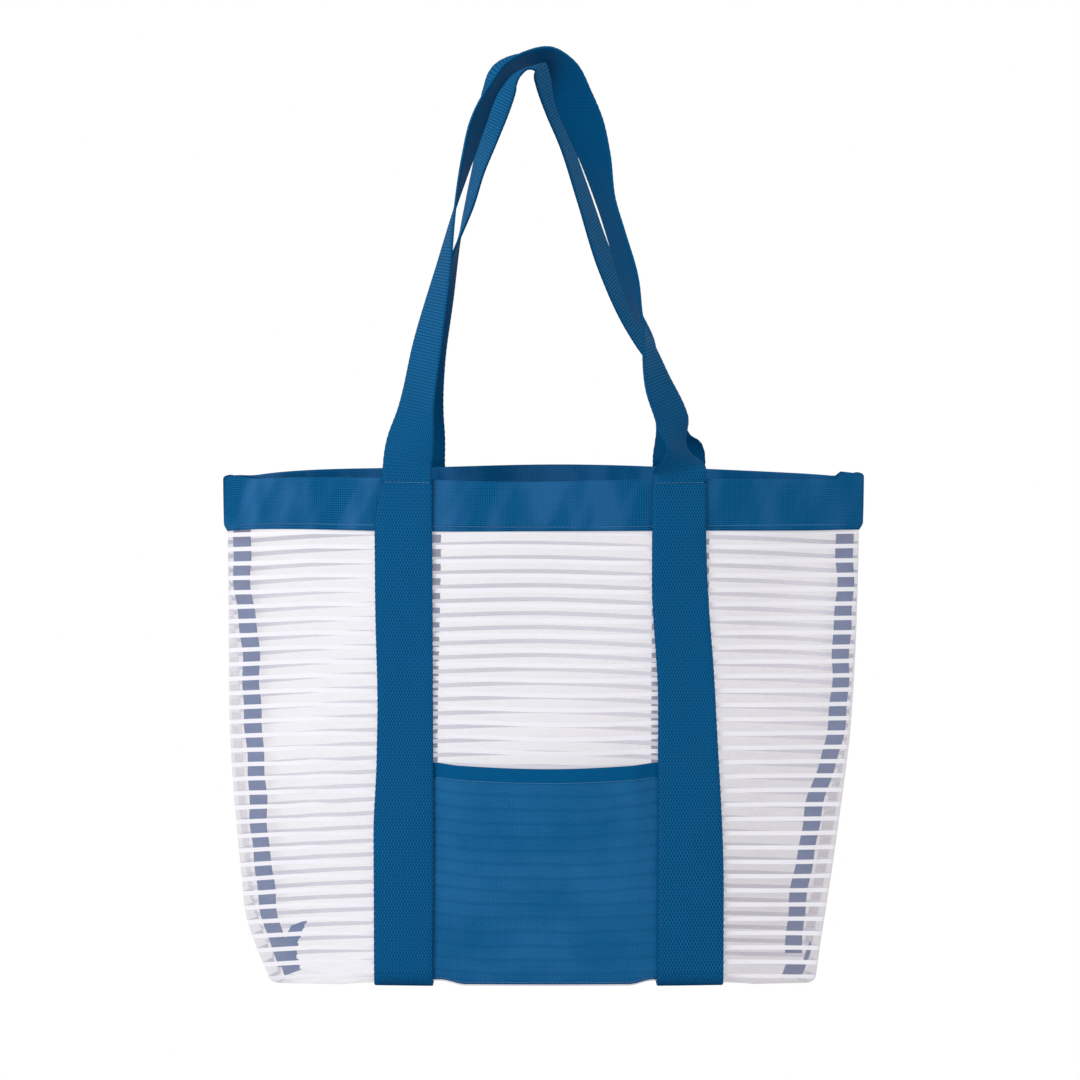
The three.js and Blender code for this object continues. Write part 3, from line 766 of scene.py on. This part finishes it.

# Stations of the front and back handles, left foot to right foot: millimetres across, height in
# millimetres, and how far the webbing has turned from facing outwards, in degrees.
FRONT_ROUTE = [
    (-81.8, 374.5, 50.5), (-74, 420, 62), (-64, 467, 76), (-56, 507.5, 90), (-48, 539, 100),
    (-42, 559, 104), (-30, 584, 100), (-22, 594, 102), (-9, 600.5, 104), (3, 602.5, 105),
    (12.0, 593.2, 118), (19.2, 574.5, 129), (26.5, 557, 129), (32.5, 539, 121), (39.5, 510.5, 108),
    (46, 489.5, 107), (54.5, 460, 107), (59.5, 441, 98), (63.5, 430, 90), (66.5, 419, 80),
    (73, 394.5, 64), (82, 371.5, 57), (86, 345.5, 52),
]
BACK_ROUTE = [
    (-80.5, 367.5, 41), (-76, 398, 56), (-66, 443, 71), (-55, 483.5, 90), (-48, 506.5, 98),
    (-42, 529.5, 102), (-37, 547, 109), (-29.5, 576.5, 123), (-25, 588.5, 121), (-18, 595, 111),
    (-10, 598, 104), (-3.5, 596.5, 104), (0.5, 588, 110), (6.5, 570, 109), (14, 547, 102),
    (26, 510.5, 103), (41.5, 465, 107), (58.5, 430, 110), (69.5, 410, 104), (74.5, 399, 92),
    (77.5, 387.5, 78), (81.5, 372.5, 65), (85.5, 352, 53),
]


def handle_pattern(u, v):
    """The straps' weave, with painted highlight on its ribs towards the crown, where the webbing stands on
    edge.
    """
    half = HANDLE_LENGTH / 2
    away = abs(v - half)
    return webbing_pattern(u, v, RIB_SHARE + away.step(half - 0.02, half - 0.11) * CROWN_RIB_HIGHLIGHT)


# The handles' webbing: its ribs lightened towards the crown as a painted highlight.
HANDLE_WEBBING = material(
    "webbing, painted rib highlights",
    group("handle webbing pattern", ("Colour", "Height"), handle_pattern),
    {"Base Color": "Colour", "Bump": ("Height", 0.0004)},
    **WEBBING_GLOSS,
)


def spline(values, count):
    """A smooth curve through rows of values, as even steps along its first three columns: cubic
    Hermite spans whose tangents are the chords' weighted means."""
    values = np.array(values, float)
    chord = np.linalg.norm(np.diff(values[:, :3], axis=0), axis=1)
    at = np.concatenate([[0], np.cumsum(chord)])
    slope = np.diff(values, axis=0) / chord[:, None]
    inner = slope[:-1] * chord[1:, None] + slope[1:] * chord[:-1, None]
    inner = inner / (chord[:-1] + chord[1:])[:, None]
    tangent = np.concatenate([slope[:1], inner, slope[-1:]])
    s = np.linspace(0, at[-1], count)
    i = np.clip(np.searchsorted(at, s, side="right") - 1, 0, len(chord) - 1)
    h = chord[i][:, None]
    t = (s - at[i])[:, None] / h
    start = (2 * t**3 - 3 * t**2 + 1) * values[i] + (t**3 - 2 * t**2 + t) * h * tangent[i]
    end = (3 * t**2 - 2 * t**3) * values[i + 1] + (t**3 - t**2) * h * tangent[i + 1]
    return start + end


def foot(right, z, facing):
    """A station on the band: middle of the webbing, its slant with the wall and its width."""
    inner, outer = (front_edges if facing < 0 else back_edges)(z, right)
    x = (inner + outer) / 2
    lift = STRAP_ON_BAND + WEBBING_WALL / 2
    places = (np.array(at) for at in (inner, outer, x))
    inner_depth, outer_depth, depth = (float(wall_depth(at, RIM, lift, facing)) for at in places)
    slant = math.degrees(math.atan2(inner_depth - outer_depth, abs(outer - inner)))
    return [x, -depth, z - float(sink(np.array(x), RIM)), slant, abs(outer - inner)]


def handle_points(route, facing):
    """Rings of webbing along a handle: the section carried along a spline through the stations,
    turned about it by their degrees. Made as a front handle and turned over for the back."""
    stations = [foot(False, STRAP_END, facing), foot(False, FOOT_TOP, facing)]
    for x, z, turn in route:
        rise = (z / 1000 - RIM) / HANDLE_RISE
        depth = FOOT_DEPTH + (CROWN_DEPTH - FOOT_DEPTH) * max(0, rise) ** LEAN_BEND
        stations.append([x / 1000, -depth, z / 1000, turn, WEBBING_WIDTH])
    stations += [foot(True, FOOT_TOP, facing), foot(True, STRAP_END, facing)]
    line = spline(stations, HANDLE_RINGS)
    path, turn, width = line[:, :3], np.radians(line[:, 3])[:, None], line[:, 4]
    ahead = np.gradient(path, axis=0)
    ahead /= np.linalg.norm(ahead, axis=1)[:, None]
    out = np.cross(ahead, [0, 1, 0])
    out /= np.linalg.norm(out, axis=1)[:, None]
    across = out * np.cos(turn) + np.cross(out, ahead) * np.sin(turn)
    through = np.cross(ahead, across)
    half = width / 2 * (1 + RIB_SWELL * np.sin(lengths(path, axis=0) * 2 * math.pi / RIB))
    points = path[:, None] + across[:, None] * (half[:, None] * ACROSS)[..., None]
    points = points + through[:, None] * (WEBBING_WALL / 2 * THROUGH)[None, :, None]
    return points * [1, -facing, 1]


for place, route, facing in (("front", FRONT_ROUTE, -1), ("back", BACK_ROUTE, 1)):
    handle = webbing_piece(f"{place}_handle_webbing", handle_points(route, facing))
    finish(handle, HANDLE_WEBBING, body=None)
    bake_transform(handle)
    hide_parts(f"handle_{place}")


# --------------------
# The pocket: thin blue cloth on the front wall, its mouth turned over in a hem, its sides caught
# under the straps and its foot sewn where the wall turns under.
POCKET_TOP = 0.1492
POCKET_DIP = 0.0028  # how far its mouth hangs in the middle
POCKET_HEM = 0.0100
POCKET_TUCK = 0.008  # caught under each strap
POCKET_BULGE = 0.0055  # how far its mouth stands off the net
POCKET_TURN = math.radians(50)  # how far round the base its foot starts
POCKET_OFF = 0.0005
POCKET_WALL = 0.0004
HEM_BEHIND = 0.0006  # the hem's inner layer behind the outer one
POCKET_ROWS, POCKET_COLUMNS, HEM_ROWS = 120, 121, 10
POCKET_DOTS = 0.0026  # one repeat of its twill
POCKET_LINE = 0.0092  # from one line of painted shade to the next
# The pocket's two tones, the colour of its lines of painted shade, and its dots.
POCKET_DARK, POCKET_LIGHT, POCKET_PRESSED_SHADE = srgb(6, 95, 147), srgb(32, 108, 163), srgb(0, 84, 134)
POCKET_DOT = srgb(80, 140, 190)
HEM_DARK, HEM_LIGHT = srgb(0, 86, 137), srgb(50, 128, 180)
POCKET_COVER = 0.95  # how much of what lies behind its single layer hides


def pocket_grid(along, across, proud):
    """Places on the pocket: along from 0 at its foot to 1 at its mouth, across from strap to
    strap. It follows the net's rounded edge and wall, stands off by a power of the height that
    dies away towards the straps, and its mouth dips by a half sine."""
    rows = []
    bend = (math.pi / 2 - POCKET_TURN) * BASE_ROUND
    wall = POCKET_TOP - BASE_TOP
    free = smooth(0.05, 0.16, across) * smooth(0.95, 0.84, across)
    for share in along:
        run = share * (bend + wall)
        z = BASE_TOP + max(0, run - bend)
        left = front_edges(z, False)[0] - POCKET_TUCK
        right = front_edges(z, True)[0] + POCKET_TUCK
        x = left + (right - left) * across
        stand = POCKET_BULGE * share**1.3 * free + 0.0006 * free * np.sin(x / 0.017 + 5 * share) * share
        if run > bend:
            height = z - POCKET_DIP * share**2 * np.sin(math.pi * across)
            depth = wall_depth(x, height, POCKET_OFF + stand + proud)
        else:
            angle = POCKET_TURN + run / BASE_ROUND
            radius = BASE_ROUND + POCKET_OFF + proud
            depth = wall_depth(x, BASE_TOP, -BASE_ROUND) + radius * math.sin(angle)
            height = BASE_TOP - radius * math.cos(angle) + 0 * x
        rows.append(np.stack([x, -depth, height - sink(x, height)], axis=-1))
    return np.stack(rows)


def pocket_pattern(u, v):
    """A fine twill, a little thin, so that what lies behind shows faintly; darker, wandering lines
    of painted shade lie where the net's dense bands press through it. The hem, with v above 0, is double and
    plain."""
    dots = twill(u, v, POCKET_DOTS, 0.0, 0.8)
    hem = v.over(0.0)
    wander = (noise(18, 1, u, v) - 0.5) * 0.006
    # darker lines of painted shade where the net's dense bands press through
    pressed_shade = ((v + wander) / POCKET_LINE).from_middle(0.3).step(0.2, 0.05) * (1.0 - hem)
    tone = noise(22, 2, u, v, 1.0) * 0.8 + noise(600, 1, u, v) * 0.3
    body = mix(tone.step(0.3, 0.8), POCKET_DARK, POCKET_LIGHT)
    body = mix(pressed_shade * 0.35, body, POCKET_PRESSED_SHADE)
    body = mix(dots * 0.22, body, POCKET_DOT)
    colour = mix(hem, body, mix(dots * 0.25, HEM_DARK, HEM_LIGHT))
    return colour, POCKET_COVER + hem * (1 - POCKET_COVER), dots


POCKET = material(
    "pocket cloth",
    group("pocket pattern", ("Colour", "Alpha", "Height"), pocket_pattern),
    {"Base Color": "Colour", "Alpha": "Alpha", "Bump": ("Height", 0.0001)},
    **BLUE_CLOTH,
)

across = np.linspace(0, 1, POCKET_COLUMNS)
outer = pocket_grid(np.linspace(0, 1, POCKET_ROWS), across, 0.0)
inner = pocket_grid(np.linspace(1, 1 - POCKET_HEM / POCKET_TOP, HEM_ROWS), across, -HEM_BEHIND)
inner[1:3, :, 1] += 0.0001
points = np.concatenate([outer, inner[1:]])
run = lengths(points, axis=0)
hem_line = run[POCKET_ROWS - 1] - POCKET_HEM
pocket_uv = np.stack([points[..., 0] + 0.05, run - hem_line], axis=-1)
pocket = grid_mesh("pocket_panel", [points], [pocket_uv])
thicken(pocket, POCKET_WALL, offset=0.0)
finish(pocket, POCKET)
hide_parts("pocket")


# --------------------
# The seam tapes: narrow dark blue cloth tape folded over the raw edges of the side seams and of
# the boxed corners' seams, on the inside. It shows through the net.
TAPE_WIDTH = 0.0112
TAPE_WALL = 0.0011
TAPE_GAP = 0.0012  # from the seam to the tape's outer edge
TAPE_FOOT = (0.008, 0.0165)  # where the left and the right side tape end
TAPE_THREAD = 0.0011
TAPE_DARK, TAPE_LIGHT = srgb(0, 76, 134), srgb(8, 110, 182)
# The corner tapes' middles, each from its inner end to its end by the base, in millimetres, and
# the way that their width lies, left and right.
CORNER_ROUTE = (
    [
        (-160, -14, 38), (-163, -15, 32), (-166, -17, 24), (-167, -19, 16.5), (-165.5, -21, 10),
        (-164, -22, 6.5),
    ],
    [(172.5, -20, 21), (172.5, -20, 15), (171, -20, 10.5), (166, -21, 8.6), (161, -22, 8.2), (157, -23, 8)],
)
CORNER_ACROSS = ((0.93, 0.2, 0.3), (0.35, 0.3, 0.88))


def tape_pattern(u, v):
    """A plain weave, a little uneven in tone."""
    weave = 0.5 + u.wave(TAPE_THREAD) * v.wave(TAPE_THREAD) * 0.5
    return mix(weave * 0.3 + noise(90, 2, u, v) * 0.7, TAPE_DARK, TAPE_LIGHT), weave


TAPE = material(
    "seam tape",
    group("tape pattern", ("Colour", "Height"), tape_pattern),
    {"Base Color": "Colour", "Bump": ("Height", 0.0001)},
    **BLUE_CLOTH,
)


def ribbon(name, edges, wall):
    """A thin closed strip between two edges, each a path of points, with its wall to both sides
    along the strip's normal."""
    first, second = edges
    ahead = np.gradient((first + second) / 2, axis=0)
    normal = np.cross(ahead, second - first)
    normal *= wall / 2 / np.linalg.norm(normal, axis=1)[:, None]
    over = np.linspace(0, 1, 7)[:, None, None]
    face = first + (second - first) * over
    rim = np.concatenate([face + normal, face[::-1] - normal])
    points = np.moveaxis(rim, 0, 1)
    width = np.linalg.norm(second - first, axis=1).mean()
    u = np.concatenate([over[:, 0, 0], over[::-1, 0, 0]]) * width
    v = lengths(points.mean(axis=1), axis=0)
    ends = [(end + end[:, ::-1]) / 2 for end in (points[:1], points[-1:])]
    points = np.concatenate([ends[0], points, ends[1]])
    v = np.concatenate([v[:1], v, v[-1:]])
    uv = np.stack(np.broadcast_arrays(u[None], v[:, None]), axis=-1)
    piece = grid_mesh(name, [points], [uv], closed=True)
    weld(piece)
    return piece


def side_tape(name, right):
    """The tape down a side seam: just inside it, with edges that wander by a few sines."""
    sign = 1 if right else -1
    z = np.linspace(TAPE_FOOT[right], BAND_FOOT + 0.004, 240)
    outer = seam_x(z, -0.001, right) - TAPE_GAP + 0.0005 * np.sin(z / 0.013) + 0.0004 * np.sin(z / 0.0051)
    inner = outer - TAPE_WIDTH - 0.0004 * np.sin(z / 0.009 + 1)
    y = 0.0008 * np.sin(z / 0.03)
    height = z - sink(sign * outer, z)
    return ribbon(name, [np.stack([sign * x, y, height], axis=-1) for x in (outer, inner)], TAPE_WALL)


def corner_tape(name, right):
    """The tape on a boxed corner's seam, through the route's points, with one ragged edge."""
    route = np.array(CORNER_ROUTE[right]) / 1000
    t = np.linspace(0, len(route) - 1, 60)
    middle = np.stack([np.interp(t, range(len(route)), route[:, i]) for i in range(3)], axis=-1)
    across = np.array(CORNER_ACROSS[right]) * TAPE_WIDTH / 2
    ragged = (1 + 0.10 * np.sin(t * 9) + 0.07 * np.sin(t * 23 + 1))[:, None]
    return ribbon(name, [middle - across, middle + across * ragged], TAPE_WALL)


for place, right in (("left", False), ("right", True)):
    for kind, make in (("side", side_tape), ("corner", corner_tape)):
        tape = make(f"{place}_{kind}_tape", right)
        finish(tape, TAPE)
        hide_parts(f"{kind}_seam_tape_{place}")


# --------------------
# The rows of thread: lockstitch in blue polyester, two to three millimetres a stitch, along the
# band's lower edge, across each strap at the band's fold and along the pocket's hem and foot.
STITCH = 0.0027
STITCH_STEPS, THREAD_SIDES = 8, 6  # steps to a stitch, and sides to the thread
THREAD_RADIUS = 0.0004
THREAD_THIN = 0.12  # the share of that left where the thread goes through the cloth
THREAD_PROUD = 0.0003  # the thread's middle off the cloth
BAND_ROW = 0.0032  # the band's row above its lower edge
BAND_ROW_END = 0.1985
STRAP_MARGIN = 0.0015  # from a strap's edge to the end of its row
FOOT_ROW = 0.012  # the pocket's foot row, as a share of its height

THREAD = bpy.data.materials.new("thread")
THREAD.use_nodes = True
shader = THREAD.node_tree.nodes["Principled BSDF"]
shader.inputs["Base Color"].default_value = (*srgb(36, 112, 166), 1)
shader.inputs["Roughness"].default_value = 0.5


def stitches(name, path, node_name):
    """A row of stitches along a path: a thin tube that swells over each stitch, by a low power of
    a sine, and draws in where the thread goes through the cloth."""
    run = lengths(path, axis=0)
    s = np.arange(0, run[-1], STITCH / STITCH_STEPS)
    line = np.stack([np.interp(s, run, path[:, i]) for i in range(3)], axis=-1)
    swell = np.abs(np.sin(math.pi * s / STITCH)) ** 0.35
    ahead = np.gradient(line, axis=0)
    ahead /= np.linalg.norm(ahead, axis=1)[:, None]
    side = np.cross(ahead, [0, 0, 1])
    side /= np.linalg.norm(side, axis=1)[:, None]
    up = np.cross(side, ahead)
    angle = np.linspace(0, 2 * math.pi, THREAD_SIDES, endpoint=False)
    radius = (THREAD_RADIUS * (THREAD_THIN + (1 - THREAD_THIN) * swell))[:, None, None]
    turn = side[:, None] * np.cos(angle)[:, None] + up[:, None] * np.sin(angle)[:, None]
    tube = line[:, None] + radius * turn
    ends = [np.repeat(end[:, None], THREAD_SIDES, 1) for end in (line[:1], line[-1:])]
    points = np.concatenate([ends[0], tube, ends[1]])
    uv = np.zeros((*points.shape[:2], 2))
    uv[..., 0] = angle[None]
    uv[..., 1] = np.arange(len(points))[:, None]
    row = grid_mesh(name, [points], [uv], closed=True)
    weld(row, 1e-6)
    finish(row, THREAD)
    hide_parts(node_name)


for place, facing in (("front", -1), ("back", 1)):
    ring = half_ring(BAND_FOOT + BAND_ROW, BAND_OUT + BAND_WALL, facing)
    ring = ring[np.abs(ring[:, 0]) < BAND_ROW_END]
    ring[:, 1] += facing * 0.0002
    stitches(f"{place}_band_stitches", ring, f"band_thread_{place}")
    for side, right in (("left", False), ("right", True)):
        edges = (front_edges if facing < 0 else back_edges)(RIM, right)
        x = np.linspace(min(edges) + STRAP_MARGIN, max(edges) - STRAP_MARGIN, 30)
        depth = wall_depth(x, STRAP_END, STRAP_ON_BAND + WEBBING_WALL + THREAD_PROUD, facing)
        path = np.stack([x, facing * depth, STRAP_END - sink(x, STRAP_END)], axis=-1)
        stitches(f"{place}_{side}_strap_stitches", path, f"strap_thread_{place}_{side}")

across = np.linspace(0.06, 0.94, 80)
for name, share in (("hem", 1 - POCKET_HEM / POCKET_TOP), ("foot", FOOT_ROW)):
    row = pocket_grid(np.array([share]), across, THREAD_PROUD)[0]
    stitches(f"pocket_{name}_stitches", row, f"pocket_{name}_thread")


# --------------------
# The stage: a plain white floor and world, soft light from the front left and the camera.
FLOOR = 6.0  # half its side
WORLD_LIGHT, WORLD_SEEN = 0.62, 1.0  # its strength as light, and as the camera sees it
KEY_FROM, KEY_TO = Vector((-1.9, -2.4, 1.9)), Vector((0, 0, 0.25))
KEY_SIZE, KEY_POWER = 1.6, 46
VIEW_FROM, VIEW_TO = Vector((-0.0023, -2.5789, 0.6194)), Vector((-0.0023, 0.0, 0.289))
LENS = 133.2

corners = np.array([[(x, y, 0) for x in (-FLOOR, FLOOR)] for y in (-FLOOR, FLOOR)])
floor = grid_mesh("floor", [corners], [np.zeros((2, 2, 2))])
white = bpy.data.materials.new("floor")
white.use_nodes = True
tree = white.node_tree
tree.nodes.remove(tree.nodes["Principled BSDF"])
seen = node(tree, "ShaderNodeLightPath")
glow = node(tree, "ShaderNodeEmission", Color=(1, 1, 1, 1), Strength=1.0)
plain = node(tree, "ShaderNodeBsdfDiffuse", Color=(0.8, 0.8, 0.8, 1))
blend = node(tree, "ShaderNodeMixShader")
tree.links.new(seen.outputs["Is Camera Ray"], blend.inputs[0])
tree.links.new(plain.outputs[0], blend.inputs[1])
tree.links.new(glow.outputs[0], blend.inputs[2])
tree.links.new(blend.outputs[0], tree.nodes["Material Output"].inputs[0])
floor.data.materials.append(white)

world = bpy.data.worlds.new("studio")
bpy.context.scene.world = world
world.use_nodes = True
tree = world.node_tree
seen = node(tree, "ShaderNodeLightPath")
strength = node(tree, "ShaderNodeMix", data_type="FLOAT")
strength.inputs[2].default_value = WORLD_LIGHT
strength.inputs[3].default_value = WORLD_SEEN
tree.links.new(seen.outputs["Is Camera Ray"], strength.inputs[0])
tree.links.new(strength.outputs[0], tree.nodes["Background"].inputs["Strength"])
tree.nodes["Background"].inputs["Color"].default_value = (1, 1, 1, 1)


def aim(name, data, place, target):
    """A light or a camera at place, facing target."""
    made = bpy.data.objects.new(name, data)
    made.location = place
    made.rotation_euler = (target - place).to_track_quat("-Z", "Y").to_euler()
    bpy.context.scene.collection.objects.link(made)
    return made


key = bpy.data.lights.new("key", "AREA")
key.size = KEY_SIZE
key.energy = KEY_POWER
aim("key", key, KEY_FROM, KEY_TO)

camera = aim("camera", bpy.data.cameras.new("camera"), VIEW_FROM, VIEW_TO)
camera.data.lens = LENS
camera.data.sensor_width = 36
camera.data.clip_end = 40
bpy.context.scene.camera = camera
bpy.context.scene.view_settings.view_transform = "Standard"
